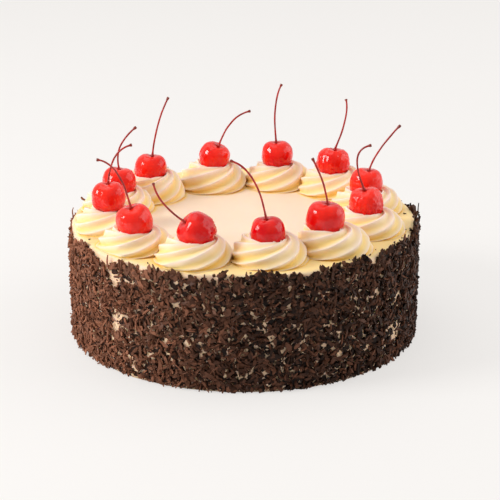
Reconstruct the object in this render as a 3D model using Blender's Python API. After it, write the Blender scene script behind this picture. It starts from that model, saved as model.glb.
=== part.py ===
"""Black forest cake: a cream cake with chocolate flakes round its side and a ring of piped swirls on top.

Each swirl carries one cocktail cherry with its stem. The cake stands on z = 0 with its axis on the Z axis.
Sizes are in millimetres in the constants below and become metres where the meshes are made.
"""

from collections import namedtuple
from math import acos, atan2, cos, exp, pi, radians, sin, tau

import bmesh
import bpy
from mathutils import Vector, noise

MM = 0.001

# The round cream cake
CAKE_RADIUS = 107.0
CAKE_TOP = 73.0
CAKE_EDGE_ROUND = 2.0
SIDES_ROUND_CAKE = 64
GAP = 0.3  # left between pieces that touch

# The coat of pressed-on chocolate flakes
COAT_RADIUS = 110.0
COAT_LUMPS = 2.8
COAT_ROWS = 6
RIM_HEIGHT = 72.5
RIM_SLOPE = 3.0  # the rim stands higher on the +X side
RIM_RAGGED = 2.0

# A piped swirl
SWIRL_RADIUS = 23.0
LIP_DROP = 5.0  # the cream meets the cherry this far below the cherry's centre
RIDGES = 7
RIDGE_DEPTH = 2.6
TWIST = radians(180)  # how far a ridge winds on its way up
COLUMNS_PER_RIDGE = 4
SWIRL_ROWS = 6
SEAT_ROWS = 2
SEAT_GAP = 0.45
NEIGHBOUR_GAP = 0.3

# A cocktail cherry
CHERRY_SQUASH = 0.93
DIMPLE_DEPTH = 0.17  # as a share of the cherry's radius
DIMPLE_WIDTH = 0.42
CHERRY_SEGMENTS = 10
CHERRY_RINGS = 8

# A stem
STEM_RADIUS = 0.65
STEM_TIP_RADIUS = 1.1
STEM_POINTS = 8

Topping = namedtuple("Topping", "angle distance height diameter nudge tilt bend tip")
# angle, distance and height: the cherry's centre, round the cake's axis and above its top.
# nudge: the swirl's centre from the cherry's, outwards and to the side. tilt: the cherry's lean and its heading.
# bend and tip: the stem's middle and end, seen from the cherry's centre.
TOPPINGS = [
    Topping(106.7, 68.6, 19.9, 21.0, (1.5, 0.5), (22, -20), (10, 2, 28.1), (24, 6, 29.6)),
    Topping(72.3, 72.8, 20.3, 21.2, (1.5, 0.5), (4, 180), (-4, 2, 35), (3, 5, 47)),
    Topping(43.3, 80.5, 18.9, 22.3, (0.0, 0.5), (6, 20), (11, 1, 33.5), (8, 4, 42)),
    Topping(10.7, 79.2, 17.4, 21.3, (0.0, 1.0), (8, 10), (6, 1, 22.1), (21, 3, 37.1)),
    Topping(-19.4, 79.5, 17.4, 21.0, (0.5, 1.5), (8, 190), (-13, -1, 34.4), (2, -3, 37.4)),
    Topping(-52.4, 78.8, 19.2, 23.4, (2.0, 4.5), (10, 5), (0, 1, 21.1), (-8, 4, 36.1)),
    Topping(-80.0, 80.4, 16.3, 21.0, (-0.5, 1.5), (6, 185), (-6.5, 2.5, 39.2), (-22, 8, 41.2)),
    Topping(-108.6, 85.7, 17.5, 23.5, (-1.0, -3.5), (48, 190), (-22.5, 0.5, 15.7), (-25, 2, 28.7)),
    Topping(-136.9, 88.8, 17.0, 22.6, (-2.0, -3.5), (14, 200), (-7.5, -1, 37.2), (-21, -4, 39.2)),
    Topping(-167.2, 85.5, 18.8, 21.8, (0.0, -1.0), (5, 100), (1.5, 1, 30.5), (15, 3, 32.5)),
    Topping(169.0, 80.9, 17.7, 21.8, (1.0, 1.0), (8, 60), (-4, 1.5, 23.5), (11.5, 5, 35)),
    Topping(145.4, 73.6, 19.1, 21.4, (2.0, 0.0), (8, 20), (4, 2, 31.5), (12, 6, 46)),
]


def clear_scene():
    for old in list(bpy.data.objects):
        bpy.data.objects.remove(old, do_unlink=True)


def material(name, colour, roughness):
    made = bpy.data.materials.new(name)
    made.use_nodes = True
    shader = made.node_tree.nodes["Principled BSDF"]
    shader.inputs["Base Color"].default_value = (*colour, 1)
    shader.inputs["Roughness"].default_value = roughness
    shader.inputs["Metallic"].default_value = 0
    return made


def add_object(name, mesh, finish, crease=50):
    mesh.shade_smooth()
    mesh.set_sharp_from_angle(angle=radians(crease))
    mesh.materials.append(finish)
    placed = bpy.data.objects.new(name, mesh)
    bpy.context.scene.collection.objects.link(placed)
    return placed


def loft(name, rings, loop=False):
    """Joins rings of equal count, given in millimetres, with quads.

    The ends close on their middle points, or on each other where loop is set.
    """
    form = bmesh.new()
    rows = [[form.verts.new(point * MM) for point in ring] for ring in rings]
    pairs = list(zip(rows, rows[1:]))
    if loop:
        pairs.append((rows[-1], rows[0]))
    count = len(rows[0])
    for low, high in pairs:
        for i in range(count):
            j = (i + 1) % count
            form.faces.new((low[i], low[j], high[j], high[i]))
    if not loop:
        for row in (rows[0], rows[-1]):
            middle = form.verts.new(sum((v.co for v in row), Vector()) / count)
            for i in range(count):
                form.faces.new((row[i], row[(i + 1) % count], middle))
    bmesh.ops.recalc_face_normals(form, faces=form.faces)
    bmesh.ops.triangulate(form, faces=form.faces)
    mesh = bpy.data.meshes.new(name)
    form.to_mesh(mesh)
    form.free()
    return mesh


def polar(radius, angle, z=0.0):
    return Vector((radius * cos(angle), radius * sin(angle), z))


def make_cake(cream):
    """A flat-based cylinder whose top edge is rounded as a palette knife leaves it."""
    form = bmesh.new()
    bmesh.ops.create_cone(
        form,
        cap_ends=True,
        segments=SIDES_ROUND_CAKE,
        radius1=CAKE_RADIUS * MM,
        radius2=CAKE_RADIUS * MM,
        depth=CAKE_TOP * MM,
    )
    bmesh.ops.translate(form, verts=form.verts, vec=(0, 0, CAKE_TOP / 2 * MM))
    top_edges = [e for e in form.edges if all(v.co.z > CAKE_TOP / 2 * MM for v in e.verts)]
    bmesh.ops.bevel(
        form,
        geom=top_edges,
        offset=CAKE_EDGE_ROUND * MM,
        offset_type="OFFSET",
        segments=3,
        profile=0.5,
        affect="EDGES",
    )
    mesh = bpy.data.meshes.new("cake")
    form.to_mesh(mesh)
    form.free()
    return add_object("cake", mesh, cream)


def coat_rim(angle):
    """The ragged upper edge of the chocolate, which climbs towards +X."""
    ragged = noise.noise(polar(9, angle)) + 0.6 * noise.noise(polar(23, angle))
    return RIM_HEIGHT + RIM_SLOPE * cos(angle + radians(30)) + RIM_RAGGED * ragged


def coat_surface(angle, z):
    """The coat's outer radius, uneven where flakes lie two or three deep."""
    place = polar(6, angle, z / 18)
    lumps = noise.noise(place) + 0.7 * noise.noise(place * 2.3)
    return COAT_RADIUS + COAT_LUMPS * lumps


def make_coat(chocolate):
    """One ring round the cake, from the base to the rim, clear of the cream all the way."""
    inner = CAKE_RADIUS + GAP
    angles = [tau * i / SIDES_ROUND_CAKE for i in range(SIDES_ROUND_CAKE)]
    rings = [[polar(inner, a, 0.0) for a in angles]]
    for row in range(COAT_ROWS):
        share = row / (COAT_ROWS - 1)
        rings.append([
            polar(coat_surface(a, share * RIM_HEIGHT), a, share * (coat_rim(a) - 1.0)) for a in angles
        ])
    rings.append([polar(inner, a, coat_rim(a)) for a in angles])
    return add_object("chocolate_coat", loft("chocolate_coat", rings, loop=True), chocolate, crease=30)


def cherry_centre(topping):
    place = polar(topping.distance, radians(topping.angle))
    place.z = CAKE_TOP + topping.height
    return place


def swirl_centre(topping):
    """The middle of a swirl's foot, a little off its cherry's place."""
    outwards, sideways = topping.nudge
    ahead = radians(topping.angle)
    place = polar(topping.distance + outwards, ahead) + polar(sideways, ahead + pi / 2)
    place.z = CAKE_TOP + GAP
    return place


def kept_clear(point, centre, neighbours):
    """Draws a point of a swirl towards its centre until it is clear of the next swirls and the coat."""
    arm = Vector((point.x - centre.x, point.y - centre.y, 0))
    share = 1.0
    for other in neighbours:
        across = Vector((other.x - centre.x, other.y - centre.y, 0))
        room = across.length / 2 - NEIGHBOUR_GAP / 2
        reach = arm.dot(across.normalized())
        if reach > room:
            share = min(share, room / reach)
    held = Vector((centre.x, centre.y, 0)) + arm * share
    limit = CAKE_RADIUS - GAP
    if held.length > limit:
        held *= limit / held.length
    held.z = point.z
    return held


def swirl_rings(topping, neighbours):
    """Rings of a swirl from its foot up over the shoulder and down into the cherry's seat.

    Every column keeps its place on a ridge or in a groove while it winds counter-clockwise, up and inwards.
    """
    foot = swirl_centre(topping)
    cherry = cherry_centre(topping)
    seat = topping.diameter / 2 + SEAT_GAP
    rim_turn = acos(LIP_DROP / seat)
    rim_radius = seat * sin(rim_turn)
    columns = RIDGES * COLUMNS_PER_RIDGE
    rings = []
    for row in range(SWIRL_ROWS + 1):
        climb = row / SWIRL_ROWS
        turn = climb * pi / 2
        middle = foot.lerp(cherry, climb**1.5)
        across = rim_radius + (SWIRL_RADIUS - rim_radius) * cos(turn) ** 0.8
        height = (cherry.z - foot.z - LIP_DROP) * sin(turn) ** 0.9
        lean = Vector((cos(turn), 0, sin(turn)))
        ring = []
        for column in range(columns):
            groove = abs(sin(pi * column / COLUMNS_PER_RIDGE))
            sink = RIDGE_DEPTH * groove * (1 - 0.6 * climb)
            angle = tau * column / columns + TWIST * climb
            point = Vector((middle.x, middle.y, 0)) + polar(across - sink * lean.x, angle)
            point.z = foot.z + max(0.0, height - sink * lean.z)
            ring.append(kept_clear(point, foot, neighbours))
        rings.append(ring)
    for row in range(1, SEAT_ROWS):
        down = rim_turn * (1 - row / SEAT_ROWS)
        angles = [tau * column / columns + TWIST for column in range(columns)]
        rings.append([cherry + polar(seat * sin(down), a, -seat * cos(down)) for a in angles])
    return rings, cherry - Vector((0, 0, seat))


def make_swirl(name, topping, neighbours, cream):
    rings, seat_floor = swirl_rings(topping, neighbours)
    mesh = loft(name, rings)
    # the seat's middle point drops from its ring's plane to the bottom of the bowl
    inner = min(mesh.vertices, key=lambda v: (v.co - seat_floor * MM).length)
    inner.co = seat_floor * MM
    return add_object(name, mesh, cream, crease=70)


def cherry_form(direction, radius):
    """A cherry's skin: a slightly squashed ball, full at the shoulders, with a dimple at the stem."""
    from_stem = acos(max(-1.0, min(1.0, direction.z)))
    dimple = DIMPLE_DEPTH * exp(-((from_stem / DIMPLE_WIDTH) ** 2))
    cleft = 0.03 * exp(-((from_stem / 0.9) ** 2)) * cos(2 * atan2(direction.y, direction.x))
    point = direction * radius * (1 - dimple - cleft)
    point.z *= CHERRY_SQUASH
    point.x *= 1 - 0.05 * max(0.0, -direction.z)
    point.y *= 1 - 0.05 * max(0.0, -direction.z)
    return point


def tilt_axis(topping):
    """The direction that a cherry's stem end points in."""
    lean, heading = (radians(v) for v in topping.tilt)
    return polar(sin(lean), heading, cos(lean))


def make_cherry(name, topping, red):
    form = bmesh.new()
    bmesh.ops.create_uvsphere(
        form, u_segments=CHERRY_SEGMENTS, v_segments=CHERRY_RINGS, radius=1.0
    )
    for v in form.verts:
        v.co = cherry_form(v.co.normalized(), topping.diameter / 2 * 0.99) * MM
    mesh = bpy.data.meshes.new(name)
    form.to_mesh(mesh)
    form.free()
    placed = add_object(name, mesh, red)
    placed.location = cherry_centre(topping) * MM
    placed.rotation_mode = "QUATERNION"
    placed.rotation_quaternion = Vector((0, 0, 1)).rotation_difference(tilt_axis(topping))
    return placed


def make_stem(name, topping, red):
    """A thin curved stalk that starts just clear of the dimple and thickens at its cut end."""
    centre = cherry_centre(topping)
    dimple_floor = topping.diameter / 2 * CHERRY_SQUASH * (1 - DIMPLE_DEPTH)
    root = centre + tilt_axis(topping) * (dimple_floor + 2 * GAP)
    bend = centre + Vector(topping.bend)
    tip = centre + Vector(topping.tip)
    curve = bpy.data.curves.new(name, "CURVE")
    curve.dimensions = "3D"
    curve.bevel_depth = MM
    curve.bevel_resolution = 1
    curve.use_fill_caps = True
    line = curve.splines.new("POLY")
    line.points.add(STEM_POINTS - 1)
    for i, point in enumerate(line.points):
        t = i / (STEM_POINTS - 1)
        place = root * (1 - t) ** 2 + bend * 2 * t * (1 - t) + tip * t**2
        point.co = (*(place * MM), 1)
        point.radius = STEM_RADIUS + (STEM_TIP_RADIUS - STEM_RADIUS) * t**8 + 0.3 * (1 - t) ** 8
    placed = bpy.data.objects.new(name, curve)
    placed.data.materials.append(red)
    bpy.context.scene.collection.objects.link(placed)
    return placed


def main():
    clear_scene()
    cream = material("cream", (0.94, 0.84, 0.62), 0.5)
    chocolate = material("chocolate", (0.05, 0.025, 0.018), 0.6)
    red = material("cherry", (0.65, 0.01, 0.01), 0.12)
    stalk = material("stem", (0.25, 0.01, 0.015), 0.4)
    make_cake(cream)
    make_coat(chocolate)
    feet = [swirl_centre(topping) for topping in TOPPINGS]
    for i, topping in enumerate(TOPPINGS):
        beside = (feet[i - 1], feet[(i + 1) % len(feet)])
        make_swirl(f"swirl_{i + 1:02d}", topping, beside, cream)
        make_cherry(f"cherry_{i + 1:02d}", topping, red)
        make_stem(f"stem_{i + 1:02d}", topping, stalk)


main()
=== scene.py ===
# %% [markdown]
# # A black forest cake
# A tall round cake is covered in whipped cream. Dark chocolate flakes are pressed into its side, and
# twelve swirls are piped round the top, each with a cocktail cherry that still has its stem.
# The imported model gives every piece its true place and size. This script gives each piece its final
# surface, one kind after another: cream, swirls, cherries, stems, chocolate, and last the room.

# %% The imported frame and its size
from math import acos, cos, pi, radians, sin, tau

import bpy
import numpy as np
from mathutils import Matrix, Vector


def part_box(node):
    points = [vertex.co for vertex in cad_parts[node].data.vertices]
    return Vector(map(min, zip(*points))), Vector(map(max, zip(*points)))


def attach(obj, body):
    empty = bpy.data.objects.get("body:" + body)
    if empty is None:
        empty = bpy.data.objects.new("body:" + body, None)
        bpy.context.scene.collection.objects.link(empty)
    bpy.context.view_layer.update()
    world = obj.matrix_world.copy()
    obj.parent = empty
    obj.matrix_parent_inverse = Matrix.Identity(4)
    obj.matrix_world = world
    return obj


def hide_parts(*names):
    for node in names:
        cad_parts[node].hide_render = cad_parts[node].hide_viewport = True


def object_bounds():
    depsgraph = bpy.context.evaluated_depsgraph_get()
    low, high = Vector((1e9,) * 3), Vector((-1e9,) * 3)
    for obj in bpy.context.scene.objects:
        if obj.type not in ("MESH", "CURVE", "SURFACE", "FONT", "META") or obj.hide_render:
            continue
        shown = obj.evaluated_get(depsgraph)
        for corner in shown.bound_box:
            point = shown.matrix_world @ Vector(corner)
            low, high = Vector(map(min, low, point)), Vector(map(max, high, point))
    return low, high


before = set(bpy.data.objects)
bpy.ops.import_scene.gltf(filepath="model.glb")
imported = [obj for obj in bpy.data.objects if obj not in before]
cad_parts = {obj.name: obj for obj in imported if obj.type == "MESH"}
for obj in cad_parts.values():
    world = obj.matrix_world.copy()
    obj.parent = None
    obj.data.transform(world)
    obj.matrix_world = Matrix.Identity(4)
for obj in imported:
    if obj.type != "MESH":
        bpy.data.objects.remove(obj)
cad_box = [list(corner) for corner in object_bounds()]
MM = 0.001
COUNT = sum(name.startswith("cherry_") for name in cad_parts)
print("toppings:", COUNT, "box in mm:", [[round(v / MM, 1) for v in corner] for corner in cad_box])

# %% [markdown]
# ## Reading places from the frame
# A cherry's node is a ball, so the middle of its box is the middle of the cherry. A swirl's node sits
# flat on the cake, so its box gives the middle of its foot. All arrays here are in millimetres, because
# a pastry cook thinks in millimetres too.


# %% Places of the cake, the swirls and the cherries
def node_box(name):
    low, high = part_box(name)
    return np.array(low) / MM, np.array(high) / MM


cake_low, cake_high = node_box("cake")
CAKE_RADIUS = (cake_high - cake_low)[0] / 2
CAKE_TOP = cake_high[2]
SQUASH = 0.93  # a cherry's height as a share of its width
cherries, feet, cherry_radii = [], [], []
for number in range(1, COUNT + 1):
    low, high = node_box(f"cherry_{number:02d}")
    cherries.append((low + high) / 2)
    cherry_radii.append(max((high - low)[:2]) / 2)
    low, high = node_box(f"swirl_{number:02d}")
    feet.append(np.array([(low + high)[0] / 2, (low + high)[1] / 2, CAKE_TOP]))
print("cake radius", round(CAKE_RADIUS, 1), "top", round(CAKE_TOP, 1))
print("cherry radii", np.round(cherry_radii, 1))

# %% [markdown]
# ## Meshes from rings
# Cream, cherries and stems are all skins stretched over rings of points. One helper joins the rings
# with quads and closes both ends, and another turns points and faces into a piece that rides on the
# cake's body. A smooth path through a few chosen points gives each profile.


# %% Helpers for meshes
def ring_faces(rows, columns):
    """Quads between rings that run counter-clockwise and rise, with both ends closed."""
    here = np.arange(rows - 1)[:, None] * columns + np.arange(columns)
    ahead = np.arange(rows - 1)[:, None] * columns + (np.arange(columns) + 1) % columns
    quads = np.stack([here, ahead, ahead + columns, here + columns], -1).reshape(-1, 4).tolist()
    last = (rows - 1) * columns
    return quads + [list(range(columns))[::-1], list(range(last, last + columns))]


def make_piece(name, points, faces, finish, slot, replaces=(), smooth=True, **traits):
    """A mesh piece from points in millimetres. A trait is one number a point, for its finish to read."""
    mesh = bpy.data.meshes.new(name)
    mesh.from_pydata((np.asarray(points, float).reshape(-1, 3) * MM).tolist(), [], faces)
    mesh.validate()
    if smooth:
        mesh.shade_smooth()
    for trait, numbers in traits.items():
        layer = mesh.attributes.new(trait, "FLOAT", "POINT")
        layer.data.foreach_set("value", np.asarray(numbers, np.float32).ravel())
    mesh.materials.append(finish)
    made = bpy.data.objects.new(name, mesh)
    bpy.context.scene.collection.objects.link(made)
    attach(made, "root")
    if replaces:
        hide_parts(*replaces)
    return made


def smooth_path(corners, count):
    """A smooth line of count points through the given corners."""
    corners = np.array(corners, float)
    ends = np.vstack([2 * corners[0] - corners[1], corners, 2 * corners[-1] - corners[-2]])
    place = np.linspace(0, len(corners) - 1 - 1e-9, count)
    k = place.astype(int)
    t = (place - k)[:, None]
    a, b, c, d = ends[k], ends[k + 1], ends[k + 2], ends[k + 3]
    return 0.5 * (2 * b + (c - a) * t + (2 * a - 5 * b + 4 * c - d) * t**2 + (3 * b - a - 3 * c + d) * t**3)


def ripple(points, size, seed, waves=7):
    """A soft uneven number from about -1 to 1 at each point, with lumps about size millimetres across."""
    rng = np.random.default_rng(seed)
    heading = rng.normal(size=(waves, 3))
    heading /= np.linalg.norm(heading, axis=1)[:, None]
    pace = tau / size * rng.uniform(0.6, 1.6, waves)
    phase = rng.uniform(0, tau, waves)
    total = np.sin(points @ (heading * pace[:, None]).T + phase).sum(-1)
    return total / waves**0.5 / 1.4


print("two rings of three points make", len(ring_faces(2, 3)), "faces")


# %% [markdown]
# ## Writing shader maths as sums
# A material's pattern is easier to read as a sum than as a tangle of nodes. A Signal wraps one output
# socket, so that `1 - fold * 0.3` adds the Math nodes by itself. A Finish is one material: it makes
# any other node from its type, its settings and its sockets, and feeds the results to the surface.


# %% Signals and finishes
class Signal:
    """One output of a material's nodes. Arithmetic on it adds Math nodes."""

    def __init__(self, finish, socket):
        self.finish, self.socket = finish, socket

    def maths(self, operation, first, second):
        return self.finish.node("ShaderNodeMath", {"operation": operation}, {0: first, 1: second})

    def __add__(self, other):
        return self.maths("ADD", self, other)

    def __sub__(self, other):
        return self.maths("SUBTRACT", self, other)

    def __rsub__(self, other):
        return self.maths("SUBTRACT", other, self)

    def __mul__(self, other):
        return self.maths("MULTIPLY", self, other)

    __radd__, __rmul__ = __add__, __mul__


class Finish:
    """A material with one Principled surface. Constants are set straight on its sockets."""

    def __init__(self, name, **constants):
        self.material = bpy.data.materials.new(name)
        self.material.use_nodes = True
        self.nodes = self.material.node_tree.nodes
        self.surface = self.nodes["Principled BSDF"]
        for socket, value in constants.items():
            self.surface.inputs[socket.replace("_", " ")].default_value = value

    def node(self, kind, settings=None, sockets=None, output=0):
        """Adds any node: its settings first, then the values or signals of its sockets."""
        made = self.nodes.new(kind)
        for setting, value in (settings or {}).items():
            setattr(made, setting, value)
        for socket, value in (sockets or {}).items():
            if isinstance(value, Signal):
                self.material.node_tree.links.new(value.socket, made.inputs[socket])
            else:
                made.inputs[socket].default_value = value
        return Signal(self, made.outputs[output])

    def trait(self, name):
        """A number that the mesh carries at each point."""
        return self.node("ShaderNodeAttribute", {"attribute_name": name}, output="Fac")

    def noise(self, size, detail=2.0):
        """Cloudy variation from 0 to 1 with patches about size millimetres across."""
        where = self.node("ShaderNodeTexCoord", output="Object")
        sockets = {"Vector": where, "Scale": 1 / (size * MM), "Detail": detail}
        return self.node("ShaderNodeTexNoise", None, sockets, output="Fac")

    def spread(self, signal, low, high):
        """Stretches a signal so that low becomes 0 and high becomes 1."""
        sockets = {"Value": signal, "From Min": low, "From Max": high}
        return self.node("ShaderNodeMapRange", {"clamp": True}, sockets)

    def mix(self, share, first, second):
        """The first colour, turning into the second as share goes from 0 to 1."""
        sockets = {0: share, 6: first, 7: second}
        return self.node("ShaderNodeMix", {"data_type": "RGBA"}, sockets, output=2)

    def bump(self, height, distance, strength=1.0):
        """A relief whose height signal stands for a distance in millimetres."""
        sockets = {"Height": height, "Distance": distance * MM, "Strength": strength}
        return self.node("ShaderNodeBump", None, sockets)

    def feed(self, **signals):
        """Links signals to the surface's sockets, and gives the material."""
        for socket, signal in signals.items():
            target = self.surface.inputs[socket.replace("_", " ")]
            self.material.node_tree.links.new(signal.socket, target)
        return self.material


def colour(red, green, blue):
    """A linear colour from the 0 to 255 values in which colours are usually picked."""
    channels = [c / 255 for c in (red, green, blue)]
    return (*(c / 12.92 if c <= 0.04045 else ((c + 0.055) / 1.055) ** 2.4 for c in channels), 1.0)


print("middle grey is", round(colour(118, 118, 118)[0], 3))

# %% [markdown]
# ## Whipped cream
# Whipped cream is pale ivory where it stands out and a clear warm yellow down in its folds, where
# light has bounced from cream to cream, and here that yellow is painted shade. A number on the meshes
# is 0 on a ridge, 1 at the bottom of a groove and more low on a swirl, round its foot and where two
# swirls meet, and the finish turns towards yellow with it; it also makes the top's outer edge yellower.
# A second number is 1 on the side, where the cream is a duller tan. A faint, broad noise keeps it from
# looking moulded, and there is no fine grain, because moist cream has none.

# %% The cream finish
CREAM_PALE = colour(253, 227, 209)
# painted shade: the yellows of the grooves and swirl feet, deeper where deepest; the first also tints the
# top's edge
CREAM_WARM = colour(254, 220, 146)
CREAM_DEEP = colour(254, 202, 68)
# painted shade: the smoothed top is a slightly darker copy of the cream
CREAM_TOP = colour(247, 222, 195)
# the cream on the side is a duller tan
CREAM_DUSTY = colour(246, 208, 172)


def cream_finish(name, pale):
    """Cream that is pale on its ridges and yellow with painted shade in its grooves, for the swirls or for
    the smooth top.
    """
    made = Finish(
        name,
        Subsurface_Weight=0.2,
        Subsurface_Scale=3 * MM,
        Subsurface_Radius=(1.0, 0.65, 0.25),
        IOR=1.4,
    )
    # painted shade: yellow in grooves, pockets and round the feet, deepest past 1; it also tints the top's
    # outer edge
    fold = made.trait("fold")
    cloud = made.noise(14)
    warmth = made.spread(fold + cloud * 0.16 - 0.08, 0.15, 0.95)
    shade = made.mix(warmth, pale, CREAM_WARM)
    shade = made.mix(made.spread(fold, 1.0, 1.5) * 0.9, shade, CREAM_DEEP)
    # the cream on the side turns a duller tan
    shade = made.mix(made.trait("dust"), shade, CREAM_DUSTY)
    return made.feed(
        Base_Color=shade,
        Roughness=made.noise(9) * 0.2 + 0.38,
        Normal=made.bump(made.noise(3.5, detail=1.0), 0.12, 0.35),
    )


cream = cream_finish("piped cream", CREAM_PALE)
# painted shade: the smoothed top gets the darker copy of the cream
smoothed_cream = cream_finish("smoothed cream", CREAM_TOP)
print("finishes:", cream.name, smoothed_cream.name)

# %% [markdown]
# ## The cream-covered cake
# A palette knife leaves the top nearly flat, with faint sweeps, and rounds the edge. The side is a
# little lumpy and shows through wherever the chocolate is thin. One profile from the base up the wall
# and in to the middle is turned round the axis, and soft ripples then push the skin in and out.

# %% The cream body
WALL_PROUD = 0.7  # the cream between flakes stands a little past the solid cake
FOOT_REACH = 23.0  # how far a swirl's foot reaches from its middle
FOOT_WARMTH, FOOT_BAND = 1.45, 2.0  # how yellow the painted shade round a swirl's foot is, and how wide
EDGE_START, EDGE_BAND, EDGE_WARMTH = 84.0, 8.0, 0.85  # the warm edge of the top, beyond the swirls
SWEEP_SINK = 0.25  # the top dips this far, so that its sweeps stay below the swirls' feet
BODY_COLUMNS = 400


def make_cream_body():
    """The cream as one closed skin, with its painted shade round the swirls' feet and its yellower edge in
    a number.
    """
    radius = CAKE_RADIUS + WALL_PROUD
    wall = smooth_path([(radius, 0), (radius, CAKE_TOP - 3.2)], 30)
    edge = smooth_path(
        [(radius, CAKE_TOP - 3), (radius - 0.9, CAKE_TOP - 0.9), (radius - 3, CAKE_TOP)], 8
    )
    top = smooth_path([(radius - 4, CAKE_TOP), (4, CAKE_TOP)], 60)
    profile = np.vstack([wall, edge, top])
    angle = np.linspace(0, tau, BODY_COLUMNS, endpoint=False)
    around = np.stack([np.cos(angle), np.sin(angle), 0 * angle], -1)
    points = profile[:, 0][:, None, None] * around + profile[:, 1][:, None, None] * [0, 0, 1]
    on_top = np.clip((profile[:, 1] - CAKE_TOP + 3) / 3, 0, 1)[:, None]
    lumps = 0.45 * ripple(points, 16, 3) + 0.2 * ripple(points, 7, 4)
    points += around * (lumps * (1 - on_top))[:, :, None]
    sweep = 0.16 * ripple(points * [1, 0.35, 1], 17, 5) + 0.1 * ripple(points, 40, 6)
    points[:, :, 2] += (sweep - SWEEP_SINK) * on_top
    points[0, :, 2] = 0
    away = np.linalg.norm(points[:, :, None, :2] - np.array(feet)[None, None, :, :2], axis=-1).min(-1)
    # painted shade: a yellow line in the crease round each swirl's foot; the top's outer edge is simply
    # yellower
    foot_line = FOOT_WARMTH * np.exp(-(((away - FOOT_REACH) / FOOT_BAND) ** 2))
    edge_side = np.clip((profile[:, 0] - EDGE_START) / EDGE_BAND, 0, 1)[:, None]
    fold = on_top * np.maximum(foot_line, EDGE_WARMTH * edge_side)
    return make_piece(
        "cream_body",
        points,
        ring_faces(len(profile), BODY_COLUMNS),
        smoothed_cream,
        "cream",
        ["cake"],
        fold=fold,
        dust=(1 - on_top) + 0 * angle,
    )


body = make_cream_body()
print(body.name, len(body.data.polygons), "faces")

# %% [markdown]
# ## Piped swirls
# A swirl is pressed out of a star nozzle while the hand circles once, so its ridges wind round as they
# climb: almost level near the foot, then steeply up and over the shoulder to the cherry. The ridges
# are narrow and the grooves between them wide and round. Each column of points keeps its place on a
# ridge or in a groove while it winds. Neighbouring swirls press flat on each other.

# %% Numbers and the profile of a swirl
RIDGES = 7
COLUMNS_PER_RIDGE = 20
RIDGE_DEPTH, CREST_RISE = 2.2, 0.5  # from crest to groove, and how far crests leave the profile
GROOVE_POWER = 0.62  # below 1, it makes the crests narrow
TWIST = radians(225)
PROFILE_ROWS = 46
# how far below its cherry's centre each swirl meets it
LIP_DROPS = [4.6, 6.0, 4.6, 4.6, 4.6, 4.6, 2.4, 4.6, 4.9, 6.8, 4.6, 3.4]
RAGGED = 2.0  # how uneven that line is
SINK_IN = 0.4  # cream runs this far into the cake and the cherry, so that no gap shows
PRESSED_IN = 1.0  # and this far into the next swirl, where the two have run together


def swirl_profile(lip_radius, lip_height):
    """Distance from the axis and height, from the foot over the shoulder to the lip.

    The corners are those of a swirl 14 mm high and 14 mm from foot to lip, and stretch with it.
    """
    across = (FOOT_REACH - lip_radius) / 14
    rise = lip_height / 14
    corners = [
        (FOOT_REACH + 0.2, 0.0),
        (FOOT_REACH, 1.6 * rise),
        (FOOT_REACH - 1.4 * across, 6.2 * rise),
        (FOOT_REACH - 4.6 * across, 11.0 * rise),
        (FOOT_REACH - 8.6 * across, 14.0 * rise),
        (lip_radius + 2.2 * across, 14.7 * rise),
        (lip_radius, lip_height),
    ]
    return smooth_path(corners, PROFILE_ROWS)


print("profile rows", len(swirl_profile(9.0, 14.0)), "columns", RIDGES * COLUMNS_PER_RIDGE)

# %% [markdown]
# ## Ridges, and swirls that touch
# Two helpers work on a swirl's points. One gives the depth of the groove at each column, from a sine
# whose power makes crests narrow and grooves round. The other finds the points that have crossed the
# plane halfway to the next swirl, and draws them back to it, which flattens the two against each other.


# %% Ridges, and swirls pressed together
def pressed_back(points, centre, neighbours):
    """Draws points towards the centre where they would run into the next swirls or off the cake."""
    arm = points[..., :2] - centre[:2]
    share = np.ones(arm.shape[:-1])
    for other in neighbours:
        across = other[:2] - centre[:2]
        gap = np.linalg.norm(across)
        reach = arm @ (across / gap)
        room = gap / 2 + PRESSED_IN
        share = np.where(reach > room, np.minimum(share, room / np.maximum(reach, 1e-6)), share)
    held = centre[:2] + arm * share[..., None]
    away = np.linalg.norm(held, axis=-1, keepdims=True)
    points[..., :2] = held * np.minimum(1, (CAKE_RADIUS - 0.6) / away)
    return 1 - share


def ridge_depths(column, climb, rng):
    """How deep each point lies, from 0 on a crest to about 1 in a groove, no two grooves alike."""
    turn = pi * column / COLUMNS_PER_RIDGE
    groove = (np.sin(turn) ** 2 + 0.0004) ** GROOVE_POWER
    uneven = 1 + 0.22 * np.sin(6 / RIDGES * turn + rng.uniform(0, tau)) + 0 * climb
    return groove * uneven


print("swirls stand", np.round(np.linalg.norm(feet[0] - feet[1]), 1), "mm apart")

# %% [markdown]
# ## Twelve swirls
# A swirl's points are rows that climb its profile and columns that wind round its axis. Row by row the
# axis leans over from the foot to the cherry. Each swirl has its own seed, so that no two are alike.


# %% The twelve swirls
def swirl_seat(cherry, radius, lip_drop, angle):
    """Three rings that follow the cherry down under it, out of sight."""
    down = np.array([0.75, 0.4, 0.1])[:, None] * acos(lip_drop / radius)
    reach = radius * 0.9 * np.sin(down)
    depth = radius * 0.88 * np.cos(down) + 0 * angle
    return cherry + np.stack([reach * np.cos(angle), reach * np.sin(angle), -depth], -1)


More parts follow.
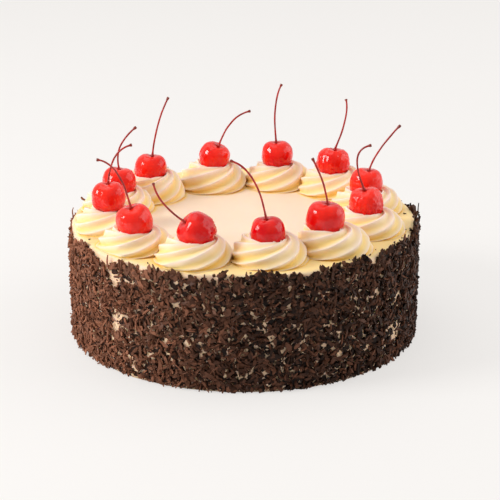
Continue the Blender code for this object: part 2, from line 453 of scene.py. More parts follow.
def make_swirl(number, foot, cherry, radius, neighbours):
    """One swirl, from its foot on the cake up to its cherry of this radius."""
    rng = np.random.default_rng(100 + number)
    lip_drop = LIP_DROPS[number - 1]
    lip_height = cherry[2] - CAKE_TOP - lip_drop
    lip = radius * (1 - (lip_drop / SQUASH / radius) ** 2) ** 0.5 - SINK_IN
    profile = swirl_profile(lip, lip_height)
    climb = np.linspace(0, 1, PROFILE_ROWS)[:, None]
    columns = RIDGES * COLUMNS_PER_RIDGE
    column = np.arange(columns)[None, :]
    wander = 0.05 * np.sin(column / columns * tau + rng.uniform(0, tau)) * np.sin(climb * pi)
    angle = rng.uniform(0, tau) + tau * column / columns + TWIST * climb**0.92 + wander
    groove = ridge_depths(column, climb, rng)
    fade = np.interp(climb, [0, 0.1, 0.5, 0.85, 1], [0.55, 0.9, 1, 0.7, 0.15])
    slope = np.gradient(profile, axis=0)
    outward = np.stack([slope[:, 1], -slope[:, 0]], -1)
    outward /= np.linalg.norm(outward, axis=1)[:, None]
    sink = (RIDGE_DEPTH * groove - CREST_RISE) * fade
    across = profile[:, :1] - sink * outward[:, :1]
    height = profile[:, 1:] - sink * outward[:, 1:]
    # the whole swirl is a little uneven, as a hand pipes it
    lean = rng.uniform(0, tau)
    across = across * (1 + 0.03 * np.sin(angle + lean) * (1 - climb))
    height = height * (1 + 0.05 * np.sin(angle + lean + 1.0) * np.sin(climb * pi))
    middle = foot + (cherry - foot) * climb**1.5
    points = np.stack([
        middle[:, :1] + across * np.cos(angle),
        middle[:, 1:2] + across * np.sin(angle),
        CAKE_TOP - SINK_IN + np.maximum(height, 0),
    ], -1)
    points += 0.2 * ripple(points, 7, number)[..., None] * [1, 1, 0.6] * (1 - climb[..., None] ** 4)
    # the lip clings to the cherry at an uneven height
    ragged = RAGGED * (ripple(points[-1], 2.8, 40 + number) + 0.35 * ripple(points[-1], 9, 60 + number))
    points[-1, :, 2] += ragged
    points[-2, :, 2] += 0.7 * ragged
    squeezed = pressed_back(points, foot, neighbours)
    seat = swirl_seat(cherry, radius, lip_drop, angle[-1])
    points = np.vstack([points, seat])
    # painted shade: yellower down the grooves, low on the swirl and in the pockets pressed against the next
    # swirl
    fold = groove * np.interp(climb, [0, 0.5, 1], [1.0, 0.75, 0.5])
    fold = fold + 0.45 * (1 - climb) ** 2 + np.clip(squeezed * 5, 0, 0.9)
    fold = np.vstack([fold, np.full((len(seat), columns), 0.5)])
    return make_piece(
        f"piped_swirl_{number:02d}",
        points,
        ring_faces(len(points), columns),
        cream,
        "cream",
        [f"swirl_{number:02d}"],
        fold=fold,
    )


for i in range(COUNT):
    beside = (feet[i - 1], feet[(i + 1) % COUNT])
    swirl = make_swirl(i + 1, feet[i], cherries[i], cherry_radii[i], beside)
print(COUNT, "swirls of", len(swirl.data.polygons), "faces")

# %% [markdown]
# ## Cocktail cherries
# A cocktail cherry has been pitted and soaked in syrup. It is a squat ball with a dimple at the stem,
# a faint seam down one side and soft wrinkles, most of them low down. Its wet skin is clear red, and a
# thin clear coat gives the sharp shine. The red is painted lighter towards the top, as painted light,
# and dark in the dimple, as painted shade. The skin is a ball of rings, and formulas push it in for the
# dimple, the seam and the wrinkles. That keeps it even where a sculpted ball would turn lumpy.

# %% The cherry finish
cherry_red = Finish(
    "cocktail cherry",
    Subsurface_Weight=0.2,
    Subsurface_Scale=3 * MM,
    Subsurface_Radius=(1.0, 0.12, 0.06),
    IOR=1.2,
    Coat_Roughness=0.02,
    Coat_IOR=1.45,
)
# painted shade: dark red in the dimple round the stem
hollow = cherry_red.trait("hollow")
# painted light: lighter towards the top, mixed with each cherry's own uneven tone
blush = cherry_red.trait("blush")
depth = cherry_red.spread(cherry_red.noise(8) * 0.6 + blush * 0.7, 0.25, 0.95)
skin = cherry_red.mix(depth, colour(212, 0, 8), colour(253, 43, 24))
skin = cherry_red.mix(hollow, skin, colour(120, 6, 10))
cherry_skin = cherry_red.feed(
    Base_Color=skin,
    Roughness=cherry_red.noise(5) * 0.14 + 0.05,
    Coat_Weight=cherry_red.spread(cherry_red.noise(6), 0.35, 0.65) * 0.4 + 0.45,
    Normal=cherry_red.bump(cherry_red.noise(2.2, detail=1.0), 0.5, 0.6),
)
print("finish:", cherry_skin.name)

# %% The cherries
# depths are shares of the cherry's radius, and widths are angles from the stem in radians
DIMPLE_DEPTH, DIMPLE_WIDTH = 0.17, 0.42
LOBE_RISE, LOBE_WIDTH = 0.045, 0.75
FULLNESS = 0.05
SEAM_DEPTH, SEAM_WIDTH = 0.03, 0.2
CREASE_DEPTH, FINE_CREASE_DEPTH = 0.018, 0.01
LUMP_DEPTH = 0.03
MEAN_SIZE = 0.99  # of the radius, so that the lumps stay inside it
CHERRY_ROWS, CHERRY_COLUMNS = 64, 96
# how wrinkled each cherry's skin is, where 1 is usual
WRINKLED = [1.4, 1, 2.6, 1, 4.4, 0.9, 0.8, 2.0, 0.9, 0.7, 1.2, 1]
# how dark each cherry is, from 0 to 1
RIPE = [0.1, 0.2, 0.1, 0, 0, 0.35, 0.7, 0.4, 0, 0, 0, 0.1]
# each cherry's lean and the heading of the lean, in degrees, as the solids have them
TILTS = [
    (22, -20), (4, 180), (6, 20), (8, 10), (8, 190), (10, 5),
    (6, 185), (48, 190), (14, 200), (5, 100), (8, 60), (8, 20),
]


def upright_to(lean, heading):
    """The matrix that leans an upright shape by these degrees."""
    lean, heading = radians(lean), radians(heading)
    axis = Vector((sin(lean) * cos(heading), sin(lean) * sin(heading), cos(lean)))
    return np.array(Vector((0, 0, 1)).rotation_difference(axis).to_matrix())


def make_cherry(number, centre, radius, tilt):
    """One cherry as a ball of rings, from its underside up to its dimple."""
    rng = np.random.default_rng(200 + number)
    from_stem = np.linspace(0.02, pi - 0.02, CHERRY_ROWS)[::-1][:, None]
    angle = np.linspace(0, tau, CHERRY_COLUMNS, endpoint=False)[None, :]
    ball = np.stack([
        np.sin(from_stem) * np.cos(angle),
        np.sin(from_stem) * np.sin(angle),
        np.cos(from_stem) + 0 * angle,
    ], -1)
    dimple = DIMPLE_DEPTH * np.exp(-((from_stem / DIMPLE_WIDTH) ** 2)) + 0 * angle
    # two lobes stand up beside the stem, and the sides are full and rather straight
    lobes = LOBE_RISE * np.exp(-((from_stem / LOBE_WIDTH) ** 2))
    lobes = lobes * (1 + np.cos(2 * angle + rng.uniform(-0.5, 0.5)))
    full = FULLNESS * np.sin(2 * from_stem) ** 2
    off_seam = (angle - rng.uniform(0, tau) + pi) % tau - pi
    seam = SEAM_DEPTH * np.exp(-((off_seam / SEAM_WIDTH) ** 2)) * np.sin(from_stem)
    # the ripples are laid out on a ball of 10 mm radius, squeezed so that the creases run down it
    creases = CREASE_DEPTH * ripple(ball * [10, 10, 5], 3.4, number)
    creases = creases + FINE_CREASE_DEPTH * ripple(ball * 10, 2.2, 300 + number)
    low = np.clip((from_stem - 0.9) / 1.2, 0.3, 1)
    wrinkle = WRINKLED[number - 1] * low * creases
    lumps = LUMP_DEPTH * ripple(ball * 10, 14, 20 + number)
    swell = MEAN_SIZE + lobes + full - dimple - seam + wrinkle + lumps
    shape = ball * (radius * swell)[..., None] * [1, 1, SQUASH]
    points = shape @ upright_to(*tilt).T + centre
    # painted light: lighter towards the top; the ripple and the ripeness are the cherry's own tone
    blush = 0.5 + 0.5 * ball[..., 2] + 0.25 * ripple(ball * 10, 12, 50 + number) - RIPE[number - 1]
    return make_piece(
        f"cocktail_cherry_{number:02d}",
        points,
        ring_faces(CHERRY_ROWS, CHERRY_COLUMNS),
        cherry_skin,
        "cherry",
        [f"cherry_{number:02d}"],
        # painted shade in the dimple
        hollow=np.clip(dimple / DIMPLE_DEPTH * 1.2 - 0.35, 0, 1) * 0.8,
        blush=np.clip(blush, -0.5, 1),
    )


for i in range(COUNT):
    fruit = make_cherry(i + 1, cherries[i], cherry_radii[i], TILTS[i])
print(COUNT, "cherries of", len(fruit.data.polygons), "faces")

# %% [markdown]
# ## Stems
# The stems have gone dark red in the syrup. Each grows out of the dimple with a small collar, thins at
# once, bends one way and ends in the wider knot where it was picked. A curve with three chosen points
# gives the bend, and rings along it give the thickness. A curve object with a round bevel would be
# quicker, but it can't swell into a collar and a knot so freely.

# %% The stem finish
stalk = Finish("cherry stem", Subsurface_Weight=0.1, Subsurface_Scale=1 * MM, IOR=1.45)
along_stem = stalk.trait("along")
stalk_red = stalk.mix(stalk.spread(stalk.noise(6), 0.3, 0.7), colour(192, 42, 32), colour(134, 18, 18))
stalk_red = stalk.mix(stalk.spread(along_stem, 0.9, 1.0), stalk_red, colour(120, 44, 26))
stem_finish = stalk.feed(
    Base_Color=stalk_red,
    Roughness=stalk.noise(4) * 0.2 + 0.22,
    Normal=stalk.bump(stalk.noise(1.2), 0.08, 0.3),
)
print("finish:", stem_finish.name)

# %% The stems
STEM_ROWS, STEM_COLUMNS = 44, 14
STEM_RADIUS = 0.58
COLLAR, KNOT = 0.75, 0.45  # how much wider than that it is at each end
# the middle and the tip of each stem's bend, from the cherry's centre, as the solids have them
BENDS = [
    ((10, 2, 28.1), (24, 6, 29.6)), ((-4, 2, 35), (3, 5, 47)),
    ((11, 1, 33.5), (8, 4, 42)), ((6, 1, 22.1), (21, 3, 37.1)),
    ((-13, -1, 34.4), (2, -3, 37.4)), ((0, 1, 21.1), (-8, 4, 36.1)),
    ((-6.5, 2.5, 39.2), (-22, 8, 41.2)), ((-22.5, 0.5, 15.7), (-25, 2, 28.7)),
    ((-7.5, -1, 37.2), (-21, -4, 39.2)), ((1.5, 1, 30.5), (15, 3, 32.5)),
    ((-4, 1.5, 23.5), (11.5, 5, 35)), ((4, 2, 31.5), (12, 6, 46)),
]


def make_stem(number, centre, radius, tilt, bend, tip):
    """One stem, out of the dimple of the cherry at centre, by way of its bend to its tip."""
    t = np.linspace(0, 1, STEM_ROWS)[:, None]
    root = centre + upright_to(*tilt) @ [0, 0, radius * SQUASH * (1 - DIMPLE_DEPTH) - 0.6]
    line = root * (1 - t) ** 2 + (centre + bend) * 2 * t * (1 - t) + (centre + tip) * t**2
    line += 0.12 * np.stack([ripple(line, 14, number), ripple(line, 12, 30 + number), 0 * t[:, 0]], -1)
    ahead = np.gradient(line, axis=0)
    ahead /= np.linalg.norm(ahead, axis=1)[:, None]
    side = np.cross(ahead, [0.3, 1, 0.2])
    side /= np.linalg.norm(side, axis=1)[:, None]
    over = np.cross(ahead, side)
    away = t[:, 0]
    thick = STEM_RADIUS + COLLAR * np.exp(-away / 0.03) + KNOT * np.clip((away - 0.93) / 0.05, 0, 1)
    thick[-1] *= 0.8
    angle = np.linspace(0, tau, STEM_COLUMNS, endpoint=False)
    knobs = 1 + 0.07 * ripple(line, 5, 70 + number)[:, None] + 0 * angle
    reach = thick[:, None] * knobs
    points = line[:, None, :] + reach[..., None] * (
        np.cos(angle)[None, :, None] * side[:, None, :] + np.sin(angle)[None, :, None] * over[:, None, :]
    )
    return make_piece(
        f"cherry_stem_{number:02d}",
        points,
        ring_faces(STEM_ROWS, STEM_COLUMNS),
        stem_finish,
        "stem",
        [f"stem_{number:02d}"],
        along=np.broadcast_to(t, (STEM_ROWS, STEM_COLUMNS)),
    )


for i in range(COUNT):
    stem = make_stem(i + 1, cherries[i], cherry_radii[i], TILTS[i], *map(np.array, BENDS[i]))
print(COUNT, "stems of", len(stem.data.polygons), "faces")

# %% [markdown]
# ## Chocolate flakes
# The side is covered in thousands of broken shavings. Broad flakes lie flat on the cream, smaller chips
# and shards stick out over them in every direction, and cream shows wherever the hand pressed on too
# few. A relief painted on a plain wall would look flat at its outline, so every flake is real geometry.
# The finish reads a number called shade from each flake, so that some are darker than others, and a
# faint bloom greys a few spots. That number also carries painted light, lighter on the side towards the
# window lamp, and painted shade, darker on the broad flakes that lie under the rest.

# %% The chocolate finish
chocolate_mix = Finish("dark chocolate", IOR=1.38, Specular_IOR_Level=0.2)
shade = chocolate_mix.trait("shade")
tone = chocolate_mix.mix(shade, colour(18, 7, 3), colour(160, 105, 79))
bloom = chocolate_mix.spread(chocolate_mix.noise(2.4), 0.55, 0.8)
tone = chocolate_mix.mix(bloom * 0.1, tone, colour(132, 98, 82))
chocolate = chocolate_mix.feed(Base_Color=tone, Roughness=shade * 0.33 + 0.36)
print("finish:", chocolate.name)

# %% [markdown]
# ## Where chocolate lies
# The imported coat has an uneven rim, and the highest point in each of its sectors says how far up the
# flakes go. A list of waves adds the dips and rises of a hand-pressed rim, and a list of thin places
# says where cream shows through. Both are soft bumps, so a few numbers describe each.

# %% The rim and the thin places
SECTORS = 64
RIM_DROP = 1.8  # how far below the coat's rim the middles of the highest flakes lie
LOW_REAR = 2.0  # and how much lower still at the rear, where the cream's edge is clear
# where the rim dips (or rises, below 0): heading in degrees, how wide, and how far in millimetres
RIM_WAVES = [
    (-170, 9, 5.0), (-152, 3, -3.2), (-140, 5.5, 6.0), (-128, 4, 2.0), (-106, 7, 2.8),
    (-98, 2.5, -3.5), (-70, 5, 4.0), (-62, 3, -1.5), (-45, 3, 3.0), (-21, 6, 3.4),
    (-13, 3, -2.4), (-1, 6, 2.6), (20, 12, 3.8),
]
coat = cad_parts["chocolate_coat"].data
coat_points = np.array([v.co for v in coat.vertices]) / MM
coat_angles = np.arctan2(coat_points[:, 1], coat_points[:, 0])
sector = ((coat_angles + pi) / tau * SECTORS).round().astype(int) % SECTORS
rim_of_sector = np.array([coat_points[sector == k, 2].max() for k in range(SECTORS)])
# thin places in the coat: heading in degrees, height, how far they run each way, and how bare they are
THIN_PLACES = [
    (-136, 60, 5, 8, 1.0), (-112, 66, 3, 4, 0.8), (-110, 56, 2, 4, 0.9), (-134, 33, 4, 14, 0.95),
    (-99, 71, 6, 3, 0.7), (-54, 50, 2, 3, 1.0), (-45, 49, 2, 3, 0.9), (-32, 40, 3, 5, 0.95),
    (-57, 21, 3, 5, 0.8), (-48, 19, 3, 4, 0.7), (-33, 16, 4, 8, 0.95), (-66, 16, 2, 3, 0.7),
    (-104, 21, 2, 3, 0.7), (-108, 28, 2, 3, 0.8), (-93, 47, 1, 2, 0.8), (-125, 5, 3, 3, 0.7),
    (-17, 28, 3, 6, 0.95), (20, 45, 3, 8, 0.8), (52, 60, 5, 5, 0.9), (75, 24, 3, 7, 0.9),
    (104, 50, 2, 5, 0.9), (128, 15, 5, 5, 0.8), (150, 62, 4, 5, 0.9), (172, 34, 3, 9, 0.8),
]


def past(angle, heading):
    """How many degrees an angle in radians lies past a heading, from -180 to 180."""
    return (np.degrees(angle) - heading + 180) % 360 - 180


def rim_height(angle):
    """How high the flakes' middles reach at each angle."""
    place = (angle + pi) / tau * SECTORS
    height = np.interp(place, np.arange(SECTORS + 1), np.append(rim_of_sector, rim_of_sector[0]))
    behind = np.clip(3 * np.sin(angle) - 0.6, 0, 1)
    height = height - RIM_DROP - LOW_REAR * behind
    for heading, wide, drop in RIM_WAVES:
        height = height - drop * np.exp(-((past(angle, heading) / wide) ** 2))
    return height


def bareness(angle, height):
    """From 0, fully covered, to 1, bare cream."""
    bare = np.zeros_like(angle)
    for heading, level, wide, tall, strength in THIN_PLACES:
        spot = np.exp(-((past(angle, heading) / wide) ** 2) - ((height - level) / tall) ** 2)
        bare = np.maximum(bare, strength * spot**1.6)
    return bare


rim_line = rim_height(np.linspace(-pi, pi, SECTORS))
print("rim of flakes from", round(rim_line.min(), 1), "to", round(rim_line.max(), 1))

# %% [markdown]
# ## Laying flakes down
# There are two ways to share flakes out: strewn at random, or laid in loose rows, which covers evenly.
# Each flake also needs three directions: along it, across it and out of its face. The face starts out
# square to the wall and is tipped by a random lean, and the flake is turned at random about its face.


# %% Places and directions for flakes
STEEPEST = 78  # no flake leans out further than this, in degrees


def strewn(rng, count, rise):
    """Random places on the coat as angle and height, up to rise above its rim."""
    angle = rng.uniform(-pi, pi, count)
    height = rng.uniform(0, 1, count) * (rim_height(angle) + rise)
    return angle, height


def laid(rng, spacing, drop):
    """Places in loose rows all over the coat, up to drop below its rim."""
    across = int(tau * CAKE_RADIUS / spacing)
    up = int(CAKE_TOP / spacing)
    angle, share = np.meshgrid(np.arange(across) / across * tau - pi, (np.arange(up) + 0.5) / up)
    angle = angle + rng.uniform(-0.5, 0.5, angle.shape) * tau / across
    share = share + rng.uniform(-0.5, 0.5, share.shape) / up
    return angle.ravel(), (share * (rim_height(angle) - drop)).ravel()


def frames_on(rng, centre, out, lean, turn=None):
    """Each flake's centre, and the directions along it, across it and out of its face."""
    # nearly straight up, so that a flake that faces up has a direction around too
    around = np.cross([0.0, 0.02, 1.0], out) + [1e-3, 0, 0]
    around /= np.linalg.norm(around, axis=1)[:, None]
    up = np.cross(out, around)
    tip = np.tan(np.radians(np.minimum(np.abs(rng.normal(0, lean, len(out))), STEEPEST)))
    heading = rng.uniform(0, tau, len(out))
    face = out + tip[:, None] * (np.cos(heading)[:, None] * around + np.sin(heading)[:, None] * up)
    face /= np.linalg.norm(face, axis=1)[:, None]
    turn = rng.uniform(0, tau, len(out)) if turn is None else np.radians(turn)
    along = np.cos(turn)[:, None] * around + np.sin(turn)[:, None] * up
    along -= (along * face).sum(1)[:, None] * face
    along /= np.linalg.norm(along, axis=1)[:, None]
    return centre, along, np.cross(face, along), face


def placed(local, centre, along, across, face):
    """Moves shapes from their own frame, count by points by 3, to their places on the cake."""
    return (
        centre[:, None, :]
        + local[..., 0:1] * along[:, None, :]
        + local[..., 1:2] * across[:, None, :]
        + local[..., 2:3] * face[:, None, :]
    )


print("flakes in loose rows 3 mm apart:", len(laid(np.random.default_rng(0), 3.0, 0.0)[0]))

# %% [markdown]
# ## Two shapes of flake
# A broken chip is a thin plate with an uneven outline, slightly dished. A shaving is a strip that is
# bent along its length, from barely curved to rolled up. Both are closed solids of few faces, because
# there are thousands of them, and one call makes all the flakes of one kind.


# %% Chips and strips
def chips(rng, count, length, width, thick, sides=6):
    """Plates with an uneven outline, slightly dished. Gives their points and one plate's faces."""
    step = np.arange(sides)
    angle = (step + rng.uniform(-0.32, 0.32, (count, sides))) * tau / sides
    radius = rng.uniform(0.6, 1.0, (count, sides))
    long = rng.uniform(*length, (count, 1)) / 2
    wide = np.minimum(rng.uniform(*width, (count, 1)) / 2, long)
    x, y = radius * np.cos(angle) * long, radius * np.sin(angle) * wide
    z = rng.uniform(-0.1, 0.2, (count, 1)) * x * x / long
    half = rng.uniform(*thick, (count, 1)) / 2
    top = np.stack([x, y, z + half], -1)
    under = np.stack([x * 0.9, y * 0.9, z - half], -1)
    faces = [tuple(step), tuple(sides + step[::-1])]
    faces += [(k, sides + k, sides + (k + 1) % sides, (k + 1) % sides) for k in range(sides)]
    return np.concatenate([top, under], 1), faces


def strips(rng, count, length, width, thick, bend, stations=4, point=0.35):
    """Bent strips that narrow to their ends. Gives their points and one strip's faces."""
    share = np.linspace(-1, 1, stations)
    long = rng.uniform(*length, (count, 1)) / 2
    turn = np.radians(rng.uniform(*bend, (count, 1))) / 2 * rng.choice([-1, 1], (count, 1))
    curve = long / turn
    x, z = curve * np.sin(turn * share), curve * (1 - np.cos(turn * share))
    z -= z.mean(1, keepdims=True)
    taper = 1 - (1 - point) * np.abs(share) ** 3
    wide = rng.uniform(*width, (count, 1)) / 2 * taper * rng.uniform(0.65, 1.15, (count, stations))
    shift = rng.uniform(-0.35, 0.35, (count, stations)) * wide
    half = rng.uniform(*thick, (count, 1)) / 2
    lean_x, lean_z = -np.sin(turn * share) * half, np.cos(turn * share) * half
    rows = [
        np.stack([x + s * lean_x, shift + e * wide, z + s * lean_z], -1)
        for s, e in ((1, -1), (1, 1), (-1, 1), (-1, -1))
    ]
    points = np.stack(rows, 2).reshape(count, stations * 4, 3)
    faces = [(0, 1, 2, 3), tuple(4 * stations - 1 - k for k in range(4))]
    for start in range(0, 4 * stations - 4, 4):
        for e in range(4):
            ahead = (e + 1) % 4
            faces.append((start + e, start + 4 + e, start + 4 + ahead, start + ahead))
    return points, faces


print("a chip has", len(chips(np.random.default_rng(0), 1, (1, 1), (1, 1), (1, 1))[1]), "faces")

# %% [markdown]
# ## Pressing them on
# All the flakes of one kind become one mesh, which keeps the scene light. When the material is baked
# for other programs, each face needs its own spot in the picture, so a map lays the faces out in small
# squares. Flakes that would dip below the base or stand out past the coat are pushed back.


# %% From places to one mesh
BOX_MARGIN, REACH_MARGIN, CLEAR_OF_BASE = 0.1, 0.3, 0.15  # the flakes stay inside the solids
ROOM = np.array(cad_box)[:, :2] / MM + [[BOX_MARGIN], [-BOX_MARGIN]]
COAT_REACH = np.hypot(coat_points[:, 0], coat_points[:, 1]).max() - REACH_MARGIN
TONES, TONE_SPREAD = (1.3, 3.4), 0.6  # most flakes are dark, and a few are lighter
LIGHT_HEADING, LIGHT_BATCH = radians(-170), 0.46  # painted light: the side towards the window lamp is this much lighter


def joined(points, faces):
    """All copies' points in one list, and their faces numbered to match."""
    count, each = points.shape[:2]
    numbered = [(np.arange(count)[:, None] * each + np.array(face)).tolist() for face in faces]
    return points.reshape(-1, 3), [face for copies in zip(*numbered) for face in copies]


def add_bake_cells(piece):
    """A map that lays every face in its own small square, so that a bake keeps each flake's colour."""
    mesh = piece.data
    starts = np.zeros(len(mesh.polygons), int)
    sizes = np.zeros(len(mesh.polygons), int)
    mesh.polygons.foreach_get("loop_start", starts)
    mesh.polygons.foreach_get("loop_total", sizes)
    across = int(np.ceil(len(starts) ** 0.5))
    face = np.repeat(np.arange(len(starts)), sizes)
    turn = (np.arange(len(face)) - starts[face] + 0.5) / sizes[face] * tau
    corner = np.stack([face % across, face // across], -1) + 0.5
    corner = corner + 0.42 * np.stack([np.cos(turn), np.sin(turn)], -1)
    mesh.uv_layers.new(name="OFBake").data.foreach_set("uv", (corner / across).ravel())


def lighter_side(angle):
    """From 0 to 1, how much painted light the shavings get on the side towards the window lamp."""
    return np.clip(np.cos(angle - LIGHT_HEADING), 0, 1) ** 1.5


def make_flakes(name, rng, places, shape, deep, lean, darker=1.0, mind_bare=1.0, turn=None, replaces=()):
    """Presses one kind of flake on at the places that aren't bare, and joins them all.

    Their middles lie outside the cake's wall by a distance between the two numbers of deep. They lean
    away from it by about lean degrees, and a factor below 1 paints shade on flakes under the others.
    """
    angle, height = places
    keep = rng.uniform(0, 1, len(angle)) >= mind_bare * bareness(angle, height)
    angle, height = angle[keep], height[keep]
    if turn is not None:
        turn = turn[keep]
    make, *sizes = shape
    local, faces = make(rng, len(angle), *sizes)
    out = np.stack([np.cos(angle), np.sin(angle), 0 * angle], -1)
    centre = out * (CAKE_RADIUS + rng.uniform(*deep, len(angle)))[:, None]
    centre[:, 2] = height
    points = placed(local, *frames_on(rng, centre, out, lean, turn))
    # nothing dips below the base, stands out past the coat or leaves the solids' box
    points[..., 2] += np.maximum(CLEAR_OF_BASE - points[..., 2].min(1), 0)[:, None]
    far = np.hypot(points[..., 0], points[..., 1]).max(1)
    reach = COAT_REACH - rng.exponential(0.9, len(angle))
    points -= (out * np.maximum(far - reach, 0)[:, None])[:, None, :]
    flat = points[..., :2]
    over = np.maximum(flat - ROOM[1], 0).max(1) - np.maximum(ROOM[0] - flat, 0).max(1)
    flat -= over[:, None, :]
    # painted light: shavings on the side towards the window lamp are lighter and more varied
    side = lighter_side(angle)
    # painted shade: a factor below 1 darkens flakes that lie under the others and dims their painted light
    tone = rng.beta(*TONES, len(angle)) * TONE_SPREAD * darker * (1 + side)
    tone = tone + LIGHT_BATCH * side * (0.15 + 0.85 * darker)
    return add_flakes(name, points, faces, tone, replaces)


def add_flakes(name, points, faces, tone, replaces=()):
    """One piece from flakes whose points are given, count by points by 3."""
    tone = np.repeat(tone, points.shape[1])
    corners, faces = joined(points, faces)
    made = make_piece(name, corners, faces, chocolate, "chocolate", replaces, smooth=False, shade=tone)
    add_bake_cells(made)
    print(made.name, len(points), "flakes,", sum(len(face) - 2 for face in faces), "triangles")
    return made


print("flakes stay within", round(COAT_REACH, 1), "mm of the axis")

# %% [markdown]
# ## The coat, kind by kind
# A bed of broad flakes covers the cream first. Chips, bits and shards then go on at random, a few curls
# and curved plates lie on top, and a row of taller flakes stands along the rim. A shape is the function
# that makes it, its length, width and thickness from least to most, and then a chip's corners, or a
# strip's bend, its stations and how blunt its ends are.

# %% The coat of chocolate
rng = np.random.default_rng(7)
BROAD = (chips, (4.6, 6.4), (3.8, 5.4), (0.5, 0.8))
CHIPS = (chips, (2.6, 6.8), (1.2, 3.2), (0.5, 1.0))
BITS = (chips, (0.9, 2.1), (0.8, 1.6), (0.4, 0.8), 5)
SHARDS = (strips, (3.2, 8.0), (1.0, 2.2), (0.4, 0.8), (10, 70))
CURLS = (strips, (5, 11), (1.2, 3.0), (0.4, 0.6), (120, 280), 9, 0.6)
PLATES = (strips, (4.5, 9), (2.4, 4.4), (0.5, 0.8), (15, 70), 5, 0.5)
TALL = (chips, (3.6, 7.6), (2.2, 4.4), (0.6, 1.0))
RIM_FLAKES = 460
# painted shade: the broad bed lies under the other flakes and is darkened to a tenth
make_flakes("chocolate_flakes_flat", rng, laid(rng, 3.15, 0.6), BROAD, (0.4, 1.0), 7, 0.1,
            replaces=["chocolate_coat"])
make_flakes("chocolate_chips", rng, strewn(rng, 6000, 0.4), CHIPS, (0.9, 3.0), 46)
make_flakes("chocolate_bits", rng, strewn(rng, 3600, 0.4), BITS, (1.2, 3.4), 50, mind_bare=0.7)
make_flakes("chocolate_shards", rng, strewn(rng, 4000, 0.4), SHARDS, (1.2, 3.2), 46)
make_flakes("chocolate_curls", rng, strewn(rng, 170, 0.5), CURLS, (1.8, 2.8), 25)
make_flakes("chocolate_plates", rng, strewn(rng, 380, 0.8), PLATES, (1.6, 2.9), 28)
rim_angle = rng.uniform(-pi, pi, RIM_FLAKES)
rim_place = (rim_angle, rim_height(rim_angle) + rng.normal(-0.4, 1.1, RIM_FLAKES))
make_flakes("chocolate_rim_flakes", rng, rim_place, TALL, (0.2, 2.4), 30,
            turn=rng.normal(90, 32, RIM_FLAKES))

# %% [markdown]
# ## Flakes that stand out, and crumbs on the top
# The eye finds the few largest flakes at once, so these are placed one by one: broad plates, long shards,
# rolls and the splinters that stick up from the rim. Last come the crumbs that fell on the cream's edge.

# %% Large flakes
# each one's heading in degrees, its height, and how far it is turned
BIG_PLATES = [
    (-81, 22, 8), (-153, 70, 70), (-150, 66, 100), (25, 66, 20), (64, 40, 10), (110, 30, -30),
    (150, 66, 60),
]
LONG_SHARDS = [
    (-105, 57, 42), (-99.8, 64, 100), (-105.3, 67, 78), (-92, 66, 110), (-128, 68, 60),
    (-40, 66, 35), (-62, 70, 75), (-33, 69, 60), (-20, 60, 95), (-118, 40, 100),
    (35, 60, 40), (90, 62, 80), (140, 50, 0),
]
ROLLS = [(-89, 40, -40), (-33, 71, 80), (-120, 30, 20), (45, 55, 60), (95, 64, 0), (140, 40, 30)]
SPLINTERS = [
    (-2, 78, 65), (-9, 77, 100), (-30, 73.5, 40), (-118, 71, 110), (-131, 69.5, 75),
    (-137, 69, 95), (-54, 74.5, 70), (163, 74, 35), (175, 72, 80), (80, 75, 100),
    (50, 75, 60), (118, 72, 80),
]
PLATE = (strips, (8, 11), (4, 5.5), (0.6, 0.8), (20, 50), 6, 0.3)
LONG_SHARD = (strips, (7.5, 9.5), (2.4, 3.4), (0.6, 0.8), (20, 60), 6, 0.75)
ROLL = (strips, (9, 13), (3, 4), (0.5, 0.7), (150, 300), 10, 0.7)
SPLINTER = (strips, (6, 9.5), (0.8, 1.6), (0.5, 0.7), (20, 60), 5, 0.2)


def listed(rows):
    """The places and the turns of flakes that are listed one by one."""
    heading, height, turn = np.array(rows, float).T
    return (np.radians(heading), height), turn


for name, rows, shape, lean in (
    ("chocolate_plates_large", BIG_PLATES, PLATE, 9),
    ("chocolate_shards_large", LONG_SHARDS, LONG_SHARD, 12),
    ("chocolate_rolls", ROLLS, ROLL, 10),
    ("chocolate_splinters", SPLINTERS, SPLINTER, 18),
):
    places, turn = listed(rows)
    make_flakes(name, rng, places, shape, (2.0, 2.8), lean, mind_bare=0.0, turn=turn)

# %% Crumbs on the top
CLUSTER, SCATTERED = 14, 30  # crumbs in a cluster at one heading, and all round
CRUMBS = CLUSTER + SCATTERED
CLUSTER_HEADING = radians(-36)
crumb_angle = np.concatenate([
    rng.normal(CLUSTER_HEADING, 0.2, CLUSTER),
    rng.uniform(-pi, pi, SCATTERED),
])
crumb_reach = CAKE_RADIUS - 1.5 - rng.exponential(2.2, CRUMBS)
crumb_at = np.stack([
    crumb_reach * np.cos(crumb_angle),
    crumb_reach * np.sin(crumb_angle),
    np.full(CRUMBS, CAKE_TOP + 0.25),
], -1)
up = np.broadcast_to([0.0, 0.0, 1.0], (CRUMBS, 3))
local, faces = chips(rng, CRUMBS, (0.9, 2.6), (0.7, 1.5), (0.4, 0.7), 5)
add_flakes("chocolate_crumbs_top", placed(local, *frames_on(rng, crumb_at, up, 25)), faces,
           rng.beta(*TONES, CRUMBS) * TONE_SPREAD * 0.6)

# %% [markdown]
# ## The floor
# The cake stands on a plain pale floor that runs out to the horizon. For the camera the floor glows a
# little by itself, which keeps it pale without more light on the cake, and it still takes the shadow.

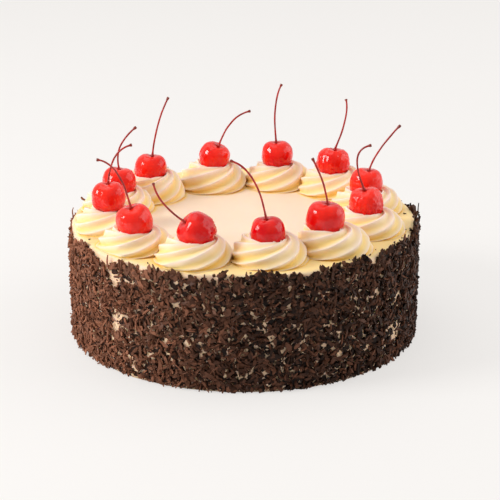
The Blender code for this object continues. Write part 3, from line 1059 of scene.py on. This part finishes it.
# %% The floor
FLOOR_WIDTH = 12.0
FLOOR_WHITE = colour(245, 242, 239)
FLOOR_GLOW = 0.68
bpy.ops.mesh.primitive_plane_add(size=FLOOR_WIDTH)
floor = bpy.context.object
floor.name = "floor"
floor_finish = Finish("pale floor", Base_Color=FLOOR_WHITE, Roughness=0.8)
seen = floor_finish.node("ShaderNodeLightPath", output="Is Camera Ray")
glow = floor_finish.node("ShaderNodeEmission", None, {"Color": FLOOR_WHITE, "Strength": 1.0})
lit = Signal(floor_finish, floor_finish.surface.outputs[0])
blend = floor_finish.node("ShaderNodeMixShader", None, {0: seen * FLOOR_GLOW, 1: lit, 2: glow})
output = floor_finish.nodes["Material Output"]
floor_finish.material.node_tree.links.new(blend.socket, output.inputs["Surface"])
floor.data.materials.append(floor_finish.material)
print("floor", FLOOR_WIDTH, "m across")

# %% [markdown]
# ## Light
# A lamp high on the left is the window: it gives the cherries their shine and draws the shadows. A weak
# one overhead and a broad one on the right fill the shadows. The surroundings are white to the camera,
# but dimmer to everything else and dimmest in front of the cake, because a white room there would lay
# a grey veil on the chocolate and the cherries.

# %% The lamps
MIDDLE_OF_CAKE = (0, 0, 0.06)


def lamp(name, place, width, height, power):
    """A rectangular lamp that looks at the cake, in metres and watts."""
    data = bpy.data.lights.new(name, "AREA")
    data.shape, data.size, data.size_y, data.energy = "RECTANGLE", width, height, power
    made = bpy.data.objects.new(name, data)
    made.location = place
    made.rotation_mode = "QUATERNION"
    made.rotation_quaternion = (Vector(MIDDLE_OF_CAKE) - Vector(place)).to_track_quat("-Z", "Y")
    bpy.context.scene.collection.objects.link(made)
    print("lamp", name, power, "W")


lamp("window", (-1.38, -0.34, 0.84), 0.6, 0.6, 17.5)
lamp("overhead", (-0.4, 0.3, 1.5), 1.0, 1.0, 3.5)
lamp("fill", (1.7, 0.1, 0.9), 2.0, 1.4, 15)

# %% The surroundings
SKY_MIDDLE = 0.51  # how strong the light from all round is
SKY_BACK, SKY_UP = 0.2, 0.12  # how much stronger it is from the rear and from above
world = bpy.data.worlds.new("white room")
bpy.context.scene.world = world
world.use_nodes = True
sky = world.node_tree


def sky_node(kind, **settings):
    made = sky.nodes.new(kind)
    for setting, value in settings.items():
        setattr(made, setting, value)
    return made


where = sky_node("ShaderNodeTexCoord")
slope = sky_node("ShaderNodeVectorMath", operation="DOT_PRODUCT")
level = sky_node("ShaderNodeMath", operation="ADD")
rays = sky_node("ShaderNodeLightPath")
white = sky_node("ShaderNodeMath", operation="MAXIMUM")
strength = sky_node("ShaderNodeMix", data_type="FLOAT")
slope.inputs[1].default_value = (0, SKY_BACK, SKY_UP)
level.inputs[1].default_value = SKY_MIDDLE
strength.inputs[3].default_value = 1.0
sky.links.new(where.outputs["Generated"], slope.inputs[0])
sky.links.new(slope.outputs["Value"], level.inputs[0])
sky.links.new(rays.outputs["Is Camera Ray"], white.inputs[0])
sky.links.new(rays.outputs["Is Transmission Ray"], white.inputs[1])
sky.links.new(white.outputs[0], strength.inputs[0])
sky.links.new(level.outputs[0], strength.inputs[2])
sky.links.new(strength.outputs[0], sky.nodes["Background"].inputs["Strength"])
sky.nodes["Background"].inputs["Color"].default_value = (1, 1, 1, 1)
print("surroundings from", round(SKY_MIDDLE - SKY_BACK, 2), "to", round(SKY_MIDDLE + SKY_BACK, 2))

# %% [markdown]
# ## The camera
# The camera looks down at the cake by twenty degrees from a metre away. A long lens keeps the sides
# upright and the ring of cherries a calm oval.

# %% The camera
CAMERA_DISTANCE = 1.061
CAMERA_RISE = radians(20)
PIVOT_HEIGHT = 0.040  # the distance and the rise are measured from this point on the cake's axis
LENS = 119.9
AIM = Vector((0.0038, 0.0032, 0.0489))
camera_data = bpy.data.cameras.new("camera")
camera_data.lens = LENS
camera = bpy.data.objects.new("camera", camera_data)
back, rise = CAMERA_DISTANCE * cos(CAMERA_RISE), CAMERA_DISTANCE * sin(CAMERA_RISE)
camera.location = (0, -back, rise + PIVOT_HEIGHT)
camera.rotation_mode = "QUATERNION"
camera.rotation_quaternion = (AIM - camera.location).to_track_quat("-Z", "Y")
bpy.context.scene.collection.objects.link(camera)
bpy.context.scene.camera = camera
bpy.context.scene.view_settings.view_transform = "Standard"
print("camera at", [round(v, 3) for v in camera.location])
